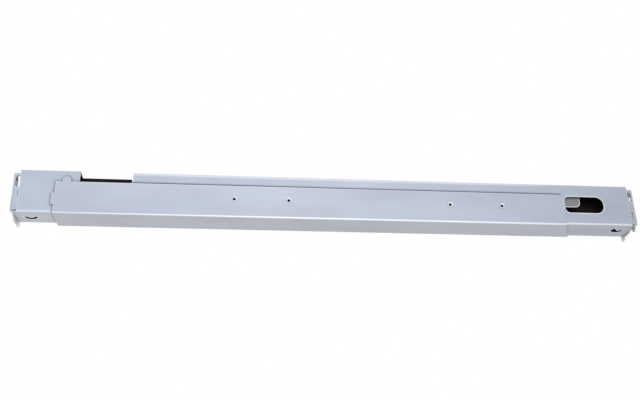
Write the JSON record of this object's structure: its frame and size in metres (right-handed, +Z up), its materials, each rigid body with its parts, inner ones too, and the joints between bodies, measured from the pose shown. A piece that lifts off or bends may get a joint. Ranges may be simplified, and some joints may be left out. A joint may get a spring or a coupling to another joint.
{
  "type": "telescopic slide rail",
  "caption": "Zinc-plated telescopic rack slide rail: folded main rail, sliding rear channel, hooked end plates and a black ball-bearing slide inside.",
  "frame": {"origin": "centre of the two front rack screw holes, on the face of the front end plate that meets the rack post", "axes": "+X along the rail from the front post to the rear post, +Y from the outer web towards the server, +Z up"},
  "size_m": [0.595, 0.0351, 0.0463],
  "materials": {
    "zinc_sheet": "bright zinc plated, satin",
    "zinc_plate": "bright zinc plated, satin",
    "rivet_steel": "plated, semi-bright",
    "lever_steel": "zinc plated, dull",
    "spring_steel": "spring steel, oiled",
    "black_steel": "black electro-coated, satin",
    "cage_steel": "bright rolled steel",
    "ball_steel": "polished, lightly greased",
    "bumper_rubber": "matt black"
  },
  "bodies": {
    "fixed_rail": {"main_rail": "zinc_sheet", "front_bracket": "zinc_sheet", "front_end_plate": "zinc_plate", "front_hook_plate": "zinc_plate", "front_hook_rivets": "rivet_steel", "spacer_rivets": "rivet_steel", "guide_strap": "zinc_plate", "slide_outer_member": "black_steel", "rear_bumper": "bumper_rubber", "bumper_rivet": "black_steel"},
    "rear_extension": {"rear_channel": "zinc_sheet", "rear_end_plate": "zinc_plate", "rear_hook_plate": "zinc_plate", "rear_hook_rivets": "rivet_steel"},
    "release_lever": {"lock_lever": "lever_steel", "lever_spring": "spring_steel"},
    "ball_carrier": {"ball_cage": "cage_steel", "upper_balls": "ball_steel", "lower_balls": "ball_steel"},
    "inner_slide": {"slide_inner_member": "black_steel"}
  },
  "joints": [
    {"name": "depth_adjust", "type": "slide", "parent": "fixed_rail", "child": "rear_extension", "axis": [1, 0, 0], "range_m": [-0.035, 0.07]},
    {"name": "slide_extension", "type": "slide", "parent": "fixed_rail", "child": "inner_slide", "axis": [-1, 0, 0], "range_m": [0, 0.324]},
    {"name": "cage_roll", "type": "slide", "parent": "fixed_rail", "child": "ball_carrier", "axis": [-1, 0, 0], "range_m": [0, 0.162]},
    {"name": "lever_press", "type": "hinge", "parent": "fixed_rail", "child": "release_lever", "pos_m": [0.4595, -0.0027, -0.0057], "axis": [0, 1, 0], "range_deg": [0, 4], "stiffness_Nm_per_rad": 0.05}
  ],
  "couplings": [
    {"joint": "cage_roll", "follows": "slide_extension", "ratio": 0.5}
  ]
}
